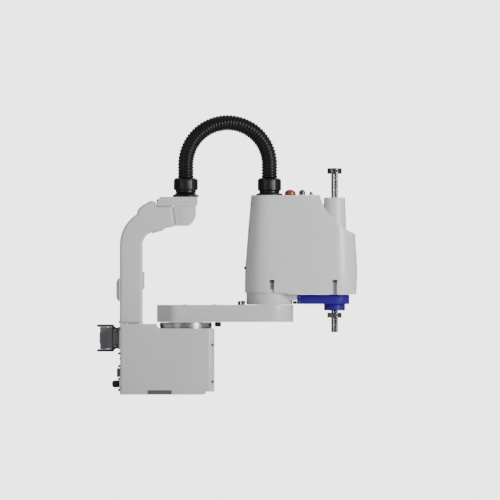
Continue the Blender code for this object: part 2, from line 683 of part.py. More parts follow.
def main():
    clear_scene()
    b = Build()
    b.axis("arm_1", 0, 0, ARM_1_LOW)
    b.axis("arm_2", J2_X, 0, HUB_LOW, "arm_1")
    b.axis("wrist", J3_X, 0, 227.5, "arm_2")
    b.axis("shaft", J3_X, 0, SHAFT_LOW, "wrist")
    b.axis("ball_nut", J3_X, 0, 378, "arm_2")
    b.axis("j3_motor", 300, 22, 378, "arm_2")
    b.axis("j4_motor", 300, -22, 345, "arm_2")
    b.axis("brake_button", 313, 0, 541, "arm_2")
    b.axis("lever_top", LEVER_X, 0, LEVER_TOP_Z)
    b.axis("lever_bottom", LEVER_X, 0, LEVER_BOTTOM_Z)
    base_pieces(b)
    first_drive(b)
    column_pieces(b)
    gland_pieces(b)
    harness(b)
    connector_pieces(b)
    arm_1_pieces(b)
    conduit(b)
    arm_2_cover(b)
    arm_2_pieces(b)
    arm_2_drives(b)
    shaft_pieces(b)


main()
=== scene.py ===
"""Looks of the SCARA robot arm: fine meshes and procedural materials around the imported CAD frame.

Lengths in this file are millimetres in the row frame; the mesh helpers turn them into metres.
"""

import json
import math

import bmesh
import bpy
from mathutils import Matrix, Vector


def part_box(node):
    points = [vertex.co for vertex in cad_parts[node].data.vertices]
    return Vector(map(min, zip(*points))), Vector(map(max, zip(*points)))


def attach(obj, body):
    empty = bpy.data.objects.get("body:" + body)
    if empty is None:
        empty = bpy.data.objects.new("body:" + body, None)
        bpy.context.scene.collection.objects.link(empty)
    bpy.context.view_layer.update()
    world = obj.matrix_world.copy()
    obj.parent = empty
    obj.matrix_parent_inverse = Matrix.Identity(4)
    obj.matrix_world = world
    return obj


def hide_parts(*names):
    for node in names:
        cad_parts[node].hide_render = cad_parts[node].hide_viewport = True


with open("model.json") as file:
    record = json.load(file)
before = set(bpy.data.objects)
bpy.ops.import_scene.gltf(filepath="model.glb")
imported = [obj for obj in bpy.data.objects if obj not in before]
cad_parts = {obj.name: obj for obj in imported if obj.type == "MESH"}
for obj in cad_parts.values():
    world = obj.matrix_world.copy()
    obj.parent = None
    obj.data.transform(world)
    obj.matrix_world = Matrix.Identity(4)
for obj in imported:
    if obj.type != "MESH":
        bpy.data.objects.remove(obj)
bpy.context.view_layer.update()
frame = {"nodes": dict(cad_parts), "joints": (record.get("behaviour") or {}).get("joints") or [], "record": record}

MM = 0.001
JOINTS = {joint["name"]: joint for joint in frame["joints"]}
J2_X = JOINTS["j2_elbow_turn"]["pos_m"][0] / MM
J3_X = JOINTS["j4_wrist_turn"]["pos_m"][0] / MM


def cad(node):
    """A CAD node's lowest and highest corners in millimetres."""
    low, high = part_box(node)
    return low / MM, high / MM


# ---------------------------------------------------------------- materials


class Finish:
    """A Principled material with object-space noise for its colour, roughness and bump."""

    def __init__(self, name, colour, roughness, metallic=0.0):
        self.material = bpy.data.materials.new(name)
        self.material.use_nodes = True
        self.nodes = self.material.node_tree.nodes
        self.links = self.material.node_tree.links
        self.shader = self.nodes["Principled BSDF"]
        self.colour = colour
        self.roughness = roughness
        self.shader.inputs["Base Color"].default_value = (*colour, 1.0)
        self.shader.inputs["Roughness"].default_value = roughness
        self.shader.inputs["Metallic"].default_value = metallic
        self.normal = None

    def noise(self, scale, detail=3.0, stretch=(1.0, 1.0, 1.0)):
        """Noise with about scale features a metre along each axis, times stretch."""
        place = self.nodes.new("ShaderNodeTexCoord")
        mapping = self.nodes.new("ShaderNodeMapping")
        mapping.inputs["Scale"].default_value = stretch
        texture = self.nodes.new("ShaderNodeTexNoise")
        texture.inputs["Scale"].default_value = scale
        texture.inputs["Detail"].default_value = detail
        self.links.new(place.outputs["Object"], mapping.inputs["Vector"])
        self.links.new(mapping.outputs["Vector"], texture.inputs["Vector"])
        return texture.outputs["Fac"]

    def ramp(self, fac, low, high, start=0.3, end=0.7):
        """A colour that runs from low to high as fac runs from start to end."""
        node = self.nodes.new("ShaderNodeValToRGB")
        node.color_ramp.elements[0].position = start
        node.color_ramp.elements[0].color = (*low, 1.0)
        node.color_ramp.elements[1].position = end
        node.color_ramp.elements[1].color = (*high, 1.0)
        self.links.new(fac, node.inputs["Fac"])
        return node.outputs["Color"]

    def mottle(self, scale, amount, stretch=(1.0, 1.0, 1.0)):
        """Slow light and dark variation of the colour."""
        low = tuple(c * (1.0 - amount) for c in self.colour)
        high = tuple(min(c * (1.0 + amount), 1.0) for c in self.colour)
        tint = self.ramp(self.noise(scale, 4.0, stretch), low, high)
        self.links.new(tint, self.shader.inputs["Base Color"])
        return self

    def worn(self, scale, amount, stretch=(1.0, 1.0, 1.0)):
        """Variation of the roughness."""
        node = self.nodes.new("ShaderNodeMapRange")
        node.inputs["From Min"].default_value = 0.3
        node.inputs["From Max"].default_value = 0.7
        node.inputs["To Min"].default_value = max(self.roughness - amount, 0.02)
        node.inputs["To Max"].default_value = min(self.roughness + amount, 1.0)
        self.links.new(self.noise(scale, 5.0, stretch), node.inputs["Value"])
        self.links.new(node.outputs["Result"], self.shader.inputs["Roughness"])
        return self

    def bump(self, scale, depth, stretch=(1.0, 1.0, 1.0)):
        """Fine relief of about depth metres; further calls add to it."""
        node = self.nodes.new("ShaderNodeBump")
        node.inputs["Strength"].default_value = 1.0
        node.inputs["Distance"].default_value = depth
        self.links.new(self.noise(scale, 2.0, stretch), node.inputs["Height"])
        if self.normal:
            self.links.new(self.normal, node.inputs["Normal"])
        self.normal = node.outputs["Normal"]
        self.links.new(self.normal, self.shader.inputs["Normal"])
        return self

    def set(self, **values):
        """Fixed values straight on the shader's sockets."""
        for name, value in values.items():
            socket = name.replace("_", " ").title().replace("Ior", "IOR")
            self.shader.inputs[socket].default_value = value
        return self


def powder_coat(name, colour, roughness):
    """Powder coat: satin, with a slight orange peel and handling marks."""
    finish = Finish(name, colour, roughness).mottle(9.0, 0.025).worn(30.0, 0.06)
    return finish.bump(420.0, 0.00005).bump(2600.0, 0.000012)


def moulded(name, colour, roughness):
    """Moulded plastic with a spark-eroded grain."""
    finish = Finish(name, colour, roughness).mottle(14.0, 0.03).worn(60.0, 0.05)
    return finish.bump(1900.0, 0.00004)


def machined(name, colour, roughness, stretch):
    """Metal with fine tool marks drawn out along one direction."""
    finish = Finish(name, colour, roughness, metallic=1.0).mottle(120.0, 0.08, stretch)
    return finish.worn(200.0, 0.08, stretch).bump(900.0, 0.00002, stretch)


def as_cast(name, colour):
    """Sand-cast metal, dull and grainy."""
    finish = Finish(name, colour, 0.55, metallic=1.0).mottle(80.0, 0.1)
    return finish.worn(150.0, 0.1).bump(1200.0, 0.00008)


def lamp_lens():
    """The red lens: clear coat over a body that lets some light through."""
    finish = Finish("lamp_lens", (0.34, 0.036, 0.013), 0.25).mottle(60.0, 0.12)
    finish.worn(90.0, 0.05).bump(300.0, 0.00006)
    return finish.set(coat_weight=0.6, subsurface_weight=0.25)


def board():
    """Green solder mask with the faint relief of its tracks."""
    finish = Finish("board_mask", (0.02, 0.13, 0.06), 0.35).mottle(200.0, 0.3)
    return finish.worn(200.0, 0.1).bump(500.0, 0.00006, (1.0, 1.0, 5.0))


FINISHES = {
    "housing_paint": powder_coat("housing_coat", (0.52, 0.52, 0.53), 0.40),
    "cover_paint": powder_coat("cover_coat", (0.57, 0.57, 0.57), 0.34),
    "duct_paint": powder_coat("duct_coat", (0.57, 0.57, 0.57), 0.42),
    "blue_paint": powder_coat("blue_enamel", (0.018, 0.0015, 0.185), 0.45).set(
        specular_ior_level=0.2),
    "black_plastic": moulded("black_moulding", (0.006, 0.006, 0.0065), 0.36).set(
        specular_ior_level=0.3),
    "motor_black": powder_coat("motor_coat", (0.015, 0.015, 0.016), 0.5),
    "black_rubber": moulded("rubber", (0.014, 0.014, 0.014), 0.7),
    # The conduit's black nylon; the shaft's flutes reuse it as painted shade.
    "conduit_black": moulded("conduit_nylon_and_flute_shade", (0.0035, 0.0035, 0.004), 0.3).set(
        specular_ior_level=0.3),
    "connector_grey": powder_coat("connector_coat", (0.13, 0.138, 0.15), 0.48),
    "machined_steel": machined("turned_steel", (0.42, 0.42, 0.43), 0.25, (1.0, 1.0, 12.0)),
    "shaft_steel": machined("ground_steel", (0.38, 0.38, 0.39), 0.24, (6.0, 6.0, 0.3)),
    "cast_aluminium": as_cast("sand_cast", (0.55, 0.55, 0.56)),
    "lamp_red": lamp_lens(),
    "bumper_green": moulded("bumper_rubber", (0.02, 0.06, 0.035), 0.75),
    "board_green": board(),
    "dark_recess": moulded("recess_black", (0.085, 0.085, 0.088), 0.7),
    # Painted shade: a dark grey laid on the floors of the cover's skirt slots.
    "seam_shadow": powder_coat("painted_groove_shade", (0.2, 0.2, 0.205), 0.6),
    "screw_steel": machined("screw_black_oxide", (0.10, 0.10, 0.105), 0.35, (8.0, 8.0, 1.0)),
    "lever_black": powder_coat("lever_coat", (0.026, 0.028, 0.031), 0.5),
    "collar_oxide": machined("collar_black_oxide", (0.15, 0.15, 0.155), 0.25, (1.0, 1.0, 12.0)),
}


# ---------------------------------------------------------------- mesh helpers


def from_bmesh(bm):
    """A new object with outward faces from a bmesh."""
    bmesh.ops.recalc_face_normals(bm, faces=bm.faces)
    mesh = bpy.data.meshes.new("piece")
    bm.to_mesh(mesh)
    bm.free()
    made = bpy.data.objects.new("piece", mesh)
    bpy.context.scene.collection.objects.link(made)
    return made


def box(low, high):
    bm = bmesh.new()
    bmesh.ops.create_cube(bm, size=1.0)
    bmesh.ops.scale(bm, vec=[(b - a) * MM for a, b in zip(low, high)], verts=bm.verts)
    middle = [(a + b) * MM / 2 for a, b in zip(low, high)]
    bmesh.ops.translate(bm, vec=middle, verts=bm.verts)
    return from_bmesh(bm)


AXIS_TURN = {
    "Z": Matrix.Identity(4),
    "X": Matrix.Rotation(math.pi / 2, 4, "Y"),
    "-X": Matrix.Rotation(-math.pi / 2, 4, "Y"),
    "Y": Matrix.Rotation(-math.pi / 2, 4, "X"),
    "-Y": Matrix.Rotation(math.pi / 2, 4, "X"),
}


def turned(profile, place=(0.0, 0.0, 0.0), axis="Z", sides=96, closed=False):
    """A lathe shape: (radius, height) points down the outer side, about an axis through place."""
    bm = bmesh.new()
    angles = [2 * math.pi * i / sides for i in range(sides)]
    rows = []
    for r, z in profile:
        if r < 1e-6:
            rows.append([bm.verts.new((0.0, 0.0, z * MM))])
        else:
            rows.append([bm.verts.new((r * math.cos(a) * MM, r * math.sin(a) * MM, z * MM))
                         for a in angles])
    pairs = list(zip(rows, rows[1:]))
    if closed:
        pairs.append((rows[-1], rows[0]))
    for upper, lower in pairs:
        for i in range(sides):
            j = (i + 1) % sides
            ring = (upper[i % len(upper)], upper[j % len(upper)],
                    lower[j % len(lower)], lower[i % len(lower)])
            unique = list(dict.fromkeys(ring))
            if len(unique) > 2:
                bm.faces.new(unique)
    move = Matrix.Translation(Vector(place) * MM) @ AXIS_TURN[axis]
    bmesh.ops.transform(bm, matrix=move, verts=bm.verts)
    return from_bmesh(bm)


def slab(outline, low, high, upright=False):
    """An outline made thick along Z, or along Y for an upright one, whose points are (x, z)."""
    bm = bmesh.new()
    if upright:
        verts = [bm.verts.new((u * MM, low * MM, v * MM)) for u, v in outline]
        step = Vector((0, (high - low) * MM, 0))
    else:
        verts = [bm.verts.new((u * MM, v * MM, low * MM)) for u, v in outline]
        step = Vector((0, 0, (high - low) * MM))
    face = bm.faces.new(verts)
    grown = bmesh.ops.extrude_face_region(bm, geom=[face])["geom"]
    moved = [g for g in grown if isinstance(g, bmesh.types.BMVert)]
    bmesh.ops.translate(bm, vec=step, verts=moved)
    return from_bmesh(bm)


def loft(rings):
    """A closed skin over outlines of equal point counts, each given as (height, points)."""
    bm = bmesh.new()
    rows = [[bm.verts.new((x * MM, y * MM, z * MM)) for x, y in points] for z, points in rings]
    count = len(rows[0])
    for lower, upper in zip(rows, rows[1:]):
        for i in range(count):
            j = (i + 1) % count
            bm.faces.new((lower[i], lower[j], upper[j], upper[i]))
    bm.faces.new(rows[0])
    bm.faces.new(rows[-1])
    return from_bmesh(bm)


def sweep(path, radius_at, sides=32):
    """A tube along (position, side, up) frames whose radius is radius_at(index)."""
    bm = bmesh.new()
    rows = []
    for index, (centre, side, up) in enumerate(path):
        r = radius_at(index) * MM
        row = []
        for k in range(sides):
            a = 2 * math.pi * k / sides
            point = centre * MM + side * (r * math.cos(a)) + up * (r * math.sin(a))
            row.append(bm.verts.new(point))
        rows.append(row)
    for lower, upper in zip(rows, rows[1:]):
        for i in range(sides):
            j = (i + 1) % sides
            bm.faces.new((lower[i], lower[j], upper[j], upper[i]))
    bm.faces.new(rows[0])
    bm.faces.new(rows[-1])
    return from_bmesh(bm)


def arc(x, y, radius, start, end, steps):
    """Points on an arc, angles in degrees."""
    angles = [math.radians(start + (end - start) * i / steps) for i in range(steps + 1)]
    return [(x + radius * math.cos(a), y + radius * math.sin(a)) for a in angles]


def stadium(x_rear, r_rear, x_front, r_front, steps=40):
    """The outline of a tapered link: two round ends joined by their common tangents."""
    lean = math.degrees(math.acos((r_rear - r_front) / (x_front - x_rear)))
    rear = arc(x_rear, 0.0, r_rear, lean, 360.0 - lean, steps)
    return rear + arc(x_front, 0.0, r_front, -lean, lean, steps)


def rounded(x_low, x_high, y_low, y_high, r_low, r_high, steps=10):
    """A rectangle with one corner radius at its low-x end and another at its high-x end."""
    return (
        arc(x_high - r_high, y_high - r_high, r_high, 0, 90, steps)
        + arc(x_low + r_low, y_high - r_low, r_low, 90, 180, steps)
        + arc(x_low + r_low, y_low + r_low, r_low, 180, 270, steps)
        + arc(x_high - r_high, y_low + r_high, r_high, 270, 360, steps)
    )


def soften(piece, width, segments=3, angle=40):
    """Round the sharp edges."""
    bevel = piece.modifiers.new("edges", "BEVEL")
    bevel.width = width * MM
    bevel.segments = segments
    bevel.limit_method = "ANGLE"
    bevel.angle_limit = math.radians(angle)
    bevel.use_clamp_overlap = True
    bake(piece)
    return piece


def soften_rims(piece, width):
    """Round an upright slab's two outlines and leave the edges between them."""
    bm = bmesh.new()
    bm.from_mesh(piece.data)
    rims = [e for e in bm.edges if abs(e.verts[0].co.y - e.verts[1].co.y) < 1e-6]
    bmesh.ops.bevel(bm, geom=rims, offset=width * MM, offset_type="OFFSET", segments=6,
                    profile=0.5, affect="EDGES", clamp_overlap=False)
    bm.to_mesh(piece.data)
    bm.free()
    return piece


def boolean(piece, tool, operation):
    """Cut a piece with a tool, or join the tool to it, and remove the tool."""
    step = piece.modifiers.new("boolean", "BOOLEAN")
    step.solver = "MANIFOLD"
    step.operation = operation
    step.object = tool
    bake(piece)
    bpy.data.objects.remove(tool, do_unlink=True)
    return piece


def cut(piece, *tools):
    for tool in tools:
        boolean(piece, tool, "DIFFERENCE")
    return piece


def join(piece, *tools):
    for tool in tools:
        boolean(piece, tool, "UNION")
    return piece


def bake(piece):
    """Replace a piece's mesh by what its modifiers make of it."""
    bpy.context.view_layer.update()
    graph = bpy.context.evaluated_depsgraph_get()
    mesh = bpy.data.meshes.new_from_object(piece.evaluated_get(graph))
    piece.modifiers.clear()
    piece.data = mesh


def merged(*pieces):
    """Several loose solids as one piece, for groups such as a row of screws."""
    bm = bmesh.new()
    for piece in pieces:
        bm.from_mesh(piece.data)
        bpy.data.objects.remove(piece, do_unlink=True)
    return from_bmesh(bm)


def keep(piece, name, finish, body, replaces=(), sharp=32):
    """Name a piece, give it its finish, and let it ride on a CAD body."""
    piece.name = name
    piece.data.name = name
    piece.data.materials.clear()
    piece.data.materials.append(FINISHES[finish].material)
    piece.data.shade_smooth()
    piece.data.set_sharp_from_angle(angle=math.radians(sharp))
    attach(piece, body)
    if replaces:
        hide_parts(*replaces)
    return piece


def socket_screw(place, radius, height, axis="Z"):
    """A socket head cap screw: chamfered head with a hexagonal recess."""
    hole = radius * 0.5
    depth = height * 0.6
    head = [(0, height - depth), (hole, height - depth), (hole, height), (radius * 0.9, height)]
    head += [(radius, height * 0.85), (radius, 0), (0, 0)]
    return turned(head, place, axis, sides=24)


# ---------------------------------------------------------------- base

RING_SEAT = 59.7  # from the first reducer's foot up to the base's top, where its ring starts


def base():
    """The base's shell with its seams, vents and screws."""
    low, high = cad("base_housing")
    top = high.z
    front_top = cad("j1_reducer")[0].z + RING_SEAT
    step_x = -75.0  # the top is lower in front of this
    wall = 8.0
    side = [(low.x, 0.0), (low.x, top), (step_x - 3, top)]
    side += arc(step_x + 9, front_top + 12.2, 12.2, 180, 270, 6)
    side += [(high.x, front_top), (high.x, 8.0), (52.0, 8.0), (46.0, 0.0)]
    shell = slab(side, low.y, high.y, upright=True)
    plan = slab(rounded(low.x, high.x, low.y, high.y, 7, 20, steps=12), -20, 220)
    boolean(shell, plan, "INTERSECT")
    soften(shell, 4.5, segments=4, angle=45)
    inside = rounded(low.x + wall, high.x - wall, low.y + wall, high.y - wall, 4, 12)
    cut(
        shell,
        slab(inside, -10, front_top - 10),
        box((-190, -58, 10), (-160, 58, 184)),
        turned([(0, 200), (52, 200), (52, 150), (0, 150)], sides=64),
        box((-166, -22, 150), (-128, 22, 210)),
    )
    for y in (low.y, high.y):
        cut(shell, box((-103, y - 2.0, -10), (-38, y + 2.0, 12)))
        for seam in (-158.0, 66.0):
            cut(shell, box((seam, y - 0.6, -5), (seam + 0.7, y + 0.6, 230)))
    keep(shell, "base_shell", "housing_paint", "base", ["base_housing"])

    vents = []
    screws = []
    feet = []
    for sign in (-1, 1):
        y = sign * (high.y - 1.8)
        near, far = sorted((y, y + sign * 1.2))
        vents.append(box((-102.6, near, 0.5), (-38.4, far, 11.6)))
        for z in (134.0, 35.0):
            spot = (high.x - 5.2, sign * (high.y - 5.2), z)
            screws.append(corner_screw(spot, sign))
        feet.append(socket_screw((48.5, sign * 60.0, 2.2), 4.5, 6.0))
    keep(merged(*vents), "side_vents", "dark_recess", "base")
    keep(merged(*screws), "front_corner_screws", "screw_steel", "base")
    keep(merged(*feet), "lip_screws", "screw_steel", "base")

    heads = [socket_screw((x, y, 8.2), 5.5, 2.0) for x in (-155, 35) for y in (-58, 58)]
    keep(merged(*heads), "bottom_plate_screws", "screw_steel", "base")


def corner_screw(place, sign):
    """A screw set at 45 degrees in the base's rounded front corner."""
    made = socket_screw((0, 0, 0), 3.2, 1.4)
    turn = Matrix.Rotation(math.radians(sign * 45), 4, "Z") @ AXIS_TURN["X"]
    made.data.transform(Matrix.Translation(Vector(place) * MM) @ turn)
    return made


def first_joint():
    """The ring under the inner arm, and the stop block beside it."""
    low, high = cad("j1_reducer")
    seat = low.z + RING_SEAT
    profile = [(0, high.z - 15.2), (56, high.z - 15.2), (56, high.z), (68.5, high.z)]
    profile += [(70, high.z - 1.5)]
    profile += [(70, seat + 3.2), (69.2, seat + 2.6), (69.2, seat + 1.8), (70, seat + 1.2)]
    profile += [(70, seat), (50, seat), (50, low.z), (0, low.z)]
    ring = turned(profile, sides=128)
    keep(ring, "first_reducer", "machined_steel", "base", ["j1_reducer"])
    low, high = cad("j1_stop_block")
    block = soften(box(low, high), 1.6)
    hole = (high.x, 0.0, (low.z + high.z) / 2)
    cut(block, turned([(0, 0), (3.2, 0), (3.2, -5), (0, -5)], hole, "X", sides=24))
    keep(block, "first_stop_block", "black_rubber", "arm_1", ["j1_stop_block"])
    keep(socket_screw((hole[0] - 4, hole[1], hole[2]), 2.8, 3.4, "X"), "stop_block_screw",
         "screw_steel", "arm_1")


# ---------------------------------------------------------------- cable column

ELBOW = (-80.3, 403.0)
ELBOW_OUTER = 97.2
ELBOW_INNER = 35.8


def column():
    """The bent cable column, its end cap and its lid."""
    low, high = cad("column_post")
    foot = low.z - 0.3
    line = [(low.x, foot)]
    line += arc(*ELBOW, ELBOW_OUTER, 180, 121.5, 18)
    line += [(-130.6, 494.6), (-128.4, 498.0), (-124.6, 502.8), (-119.8, 507.0), (-107.6, 514.6)]
    line += [(-97.0, 520.6), (-93.5, 521.8), (-89.5, 521.4), (-79.2, 517.4), (-82.5, 511.4)]
    line += [(-82.5, 508.0), (-36.4, 508.0)]
    line += [(-29.4, 453.0), (-54, 448.0), (-68, 442.2)]
    line += arc(*ELBOW, ELBOW_INNER, 86, 180, 14)
    line += [(high.x, foot)]
    body = slab(line, low.y, high.y, upright=True)
    soften_rims(body, 8.0)
    cut(body, box((low.x + 3, -31, foot - 5), (high.x - 3, 31, foot + 60)))
    names = ["column_post", "column_elbow", "elbow_cover", "column_head"]
    keep(body, "column_body", "duct_paint", "base", names, sharp=11)

    cap_low, cap_high = cad("column_end_cap")
    cap = [(-27.0, 453.6), (-24.5, 454)] + arc(-12, 489, 39.4, -62, 0, 16)
    cap += [(27.4, 507.9), (-34.0, 507.9)]
    shell = slab(cap, cap_low.y, cap_high.y, upright=True)
    soften(shell, 3.5, segments=4, angle=30)
    keep(shell, "end_cap_shell", "duct_paint", "base", ["column_end_cap"])
    raised = [(-18.0, 461.5)] + arc(-9, 487, 28, -64, 0, 12) + [(19.0, 501.0), (-23.0, 501.0)]
    for side, y in (("right", cap_low.y - 0.8), ("left", cap_high.y - 1.0)):
        panel = slab(raised, y, y + 1.8, upright=True)
        soften(panel, 0.8, segments=2, angle=40)
        keep(panel, f"end_cap_panel_{side}", "duct_paint", "base")
    seam = slab([(-37.5, 506), (-30.5, 455.5), (-26, 456), (-33, 506)], -33.5, 33.5, upright=True)
    keep(seam, "end_cap_seam", "duct_paint", "base")

    low, high = cad("column_lid")
    profile = [(-82, 511), (-68.6, high.z), (high.x, high.z), (high.x, low.z - 0.2)]
    profile += [(-82, low.z - 0.2)]
    lid = slab(profile, low.y, high.y, upright=True)
    soften(lid, 2.4, segments=4, angle=30)
    for y in (low.y, high.y):
        cut(lid, box((-84, y - 0.5, 514.2), (40, y + 0.5, 515.0)))
        cut(lid, box((12, y - 0.9, 519.5), (25.5, y + 0.9, 527.5)))
    keep(lid, "lid_shell", "duct_paint", "base", ["column_lid"])
    screws = [lid_screw(y) for y in (-27, 27)]
    keep(merged(*screws), "lid_screws", "screw_steel", "base")


def lid_screw(y):
    """A button head on the lid's slanted rear end."""
    made = turned([(0, 3.2), (2.2, 3.0), (4.0, 1.8), (4.6, 0), (4.6, -2), (0, -2)], sides=24)
    turn = Matrix.Rotation(math.radians(-32), 4, "Y")
    made.data.transform(Matrix.Translation(Vector((-75.0, y, 522.6)) * MM) @ turn)
    return made


def column_trim():
    """The plates, screws and clip on the column."""
    low, high = cad("column_post")
    plate = box((high.x - 0.5, -23, 284), (high.x + 4.6, 23, 330))
    soften(plate, 1.2)
    keep(plate, "column_front_plate", "duct_paint", "base")
    heads = [socket_screw((high.x + 4.2, y, z), 2.6, 1.4, "X")
             for y in (-17, 17) for z in (290, 324)]
    keep(merged(*heads), "front_plate_screws", "screw_steel", "base")
    under = slab([(-91.5, 433), (-60, 442), (-58, 446), (-91.5, 438)], -30, 30, upright=True)
    soften(under, 0.8, segments=2)
    keep(under, "underside_plate", "duct_paint", "base")

    low_c, high_c = cad("column_rear_cover")
    rings = []
    for depth, inset in ((0.0, 0.0), (3.0, 1.0), (6.0, 4.0), (8.4, 9.0), (9.2, 14.0)):
        points = rounded(low_c.z + inset, high_c.z - inset, low_c.y + inset * 0.8,
                         high_c.y - inset * 0.8, 13, 13)
        rings.append((-high_c.x + depth, points))
    bump = loft(rings)
    swap = Matrix(((0, 0, -1, 0), (0, 1, 0, 0), (1, 0, 0, 0), (0, 0, 0, 1)))
    bump.data.transform(swap)
    bump = merged(bump)
    keep(bump, "rear_bump", "duct_paint", "base", ["column_rear_cover"], sharp=50)

    foot = cad("base_housing")[1].z
    heads = [socket_screw((x, y, foot), 3.6, 2.6) for x in (-165, -131) for y in (-41, 41)]
    keep(merged(*heads), "column_foot_screws", "screw_steel", "base")
    tabs = []
    for x in (-165, -131):
        for sign in (-1, 1):
            ys = sorted((sign * 35.0, sign * 46.0))
            tabs.append(soften(box((x - 6, ys[0], foot), (x + 6, ys[1], foot + 1.0)), 0.4, 1))
    keep(merged(*tabs), "column_foot_tabs", "duct_paint", "base")
    clip = soften(box((low.x - 2.5, -6, foot + 2), (low.x + 1.0, 6, foot + 8.5)), 0.8, 2)
    keep(clip, "rear_cable_clip", "black_plastic", "base")


# ---------------------------------------------------------------- glands and conduit


def gland_nut(low, high, radius, x):
    """A domed compression nut with twelve flats."""
    low -= 0.3
    high += 0.3
    chamfer = 4.0
    profile = [(15, high), (radius - chamfer * 1.6, high), (radius - 1.0, high - chamfer)]
    profile += [(radius, high - chamfer * 1.8), (radius, low + 3.0), (radius - 2.2, low), (15, low)]
    nut = turned(profile, (x, 0, 0), sides=96, closed=True)
    flats = []
    for i in range(12):
        plane = box((radius * 0.968, -30, low + 5), (radius + 20, 30, high - 7))
        plane.data.transform(Matrix.Rotation(math.radians(30 * i + 15), 4, "Z"))
        plane.data.transform(Matrix.Translation((x * MM, 0, 0)))
        flats.append(plane)
    cut(nut, *flats)
    return soften(nut, 0.5, segments=2, angle=25)


def glands():
    """Both cable glands: a flared body under a compression nut."""
    low, high = cad("rear_gland_body")
    profile = [(15, high.z), (27.5, high.z), (27.5, 545.0), (26.0, 543.6), (28.5, 540.5)]
    profile += [(34.5, 536.6), (35.5, 535.8), (35.5, low.z - 0.3), (15, low.z - 0.3)]
    keep(turned(profile, closed=True), "rear_gland_flare", "black_plastic", "base",
         ["rear_gland_body"])
    low, high = cad("front_gland_body")
    profile = [(15, high.z), (27, high.z), (27, 544.0), (29.0, 541.6), (35.0, 541.0)]
    profile += [(35.5, 540.2), (35.5, low.z - 0.3), (15, low.z - 0.3)]
    keep(turned(profile, (J2_X, 0, 0), closed=True), "front_gland_flare", "black_plastic",
         "arm_2", ["front_gland_body"])
    for node, x, body in (("rear_gland_nut", 0.0, "base"), ("front_gland_nut", J2_X, "arm_2")):
        low, high = cad(node)
        nut = gland_nut(low.z, high.z, (high.x - low.x) / 2, x)
        keep(nut, node + "_ribbed", "black_plastic", body, [node])


CONDUIT_SPRING = 619.0  # the straight legs end and the arch starts at this height
CONDUIT_PITCH = 8.0
CONDUIT_CREST = 21.6
CONDUIT_ROOT = 19.4


def conduit():
    """The corrugated arch between the glands."""
    foot = cad("cable_conduit")[0].z
    radius = J2_X / 2
    leg = CONDUIT_SPRING - foot
    total = 2 * leg + math.pi * radius
    rings = round(total / CONDUIT_PITCH)
    per_ring = 8
    count = rings * per_ring
    path = []
    for i in range(count + 1):
        s = total * i / count
        if s < leg:
            centre, side = Vector((0, 0, foot + s)), Vector((1, 0, 0))
        elif s > total - leg:
            centre, side = Vector((2 * radius, 0, foot + total - s)), Vector((-1, 0, 0))
        else:
            a = math.pi - (s - leg) / radius
            side = Vector((-math.cos(a), 0, -math.sin(a)))
            centre = Vector((radius, 0, CONDUIT_SPRING)) - side * radius
        path.append((centre, side, Vector((0, 1, 0))))

    def radius_at(index):
        wave = 0.5 - 0.5 * math.cos(2 * math.pi * index / per_ring)
        return CONDUIT_ROOT + (CONDUIT_CREST - CONDUIT_ROOT) * min(wave * 1.35, 1.0)

    hose = sweep(path, radius_at, sides=40)
    keep(hose, "corrugated_conduit", "conduit_black", "arm_1", ["cable_conduit"], sharp=70)


# ---------------------------------------------------------------- rear sockets

LEVER_X = -189.0
LEVER_Z = {"top": 174.0, "bottom": 131.0}
HOOD_MIDDLE = 152.5


def connector():
    """The heavy rear connector with its hood, pins and levers."""
    low, high = cad("connector_housing")
    back = high.x
    body = box((low.x + 0.2, -21, low.z), (back, 21, high.z))
    soften(body, 2.0)
    flange = soften(box((back - 4.5, -24, low.z - 2.5), (back, 24, high.z + 2.5)), 1.5)
    body = merged(body, flange)
    keep(body, "connector_base", "connector_grey", "base", ["connector_housing"])
    pins = []
    pin = [(0, 25.4), (2.6, 25.4), (3.2, 24.8), (3.2, 23.9), (2.0, 23.9), (2.0, 0), (0, 0)]
    for z in LEVER_Z.values():
        pins += [turned(pin, (LEVER_X, 0, z), axis, 24) for axis in ("Y", "-Y")]
    keep(merged(*pins), "lever_pins", "machined_steel", "base")

    low, high = cad("connector_hood")
    hood = soften(box((low.x, low.y, low.z - 1.2), (high.x, high.y, high.z + 1.2)), 2.2, 4)
    cut(hood, turned([(0, 3), (11, 3), (11, -16), (0, -16)], (low.x, 0, HOOD_MIDDLE), "-X", 48))
    for y in (low.y, high.y):
        for z in (138, HOOD_MIDDLE, 167):
            cut(hood, box((low.x + 5, y - 0.8, z - 4.5), (high.x - 5, y + 0.8, z + 4.5)))
    cut(hood, frame_cut(-210.0))
    soften(hood, 0.6, 2, 50)
    keep(hood, "connector_cover", "connector_grey", "base", ["connector_hood"])
    entry = turned([(10.8, 0.2), (14.5, 0.2), (14.5, -1.4), (10.8, -1.4)],
                   (low.x, 0, HOOD_MIDDLE), "X", 48, closed=True)
    keep(entry, "hood_entry_collar", "black_plastic", "base")
    gasket = box((high.x - 0.6, -20, low.z + 1), (high.x + 0.9, 20, high.z - 1))
    keep(gasket, "connector_gasket", "black_rubber", "base")
    for name, sign in (("top", 1), ("bottom", -1)):
        lever(name, sign)


def frame_cut(x):
    """A thin square loop that scores a groove round the hood at x."""
    outer = box((x - 0.9, -40, 100), (x + 0.9, 40, 200))
    return cut(outer, box((x - 2, -20.0, 124.0), (x + 2, 20.0, 181.0)))


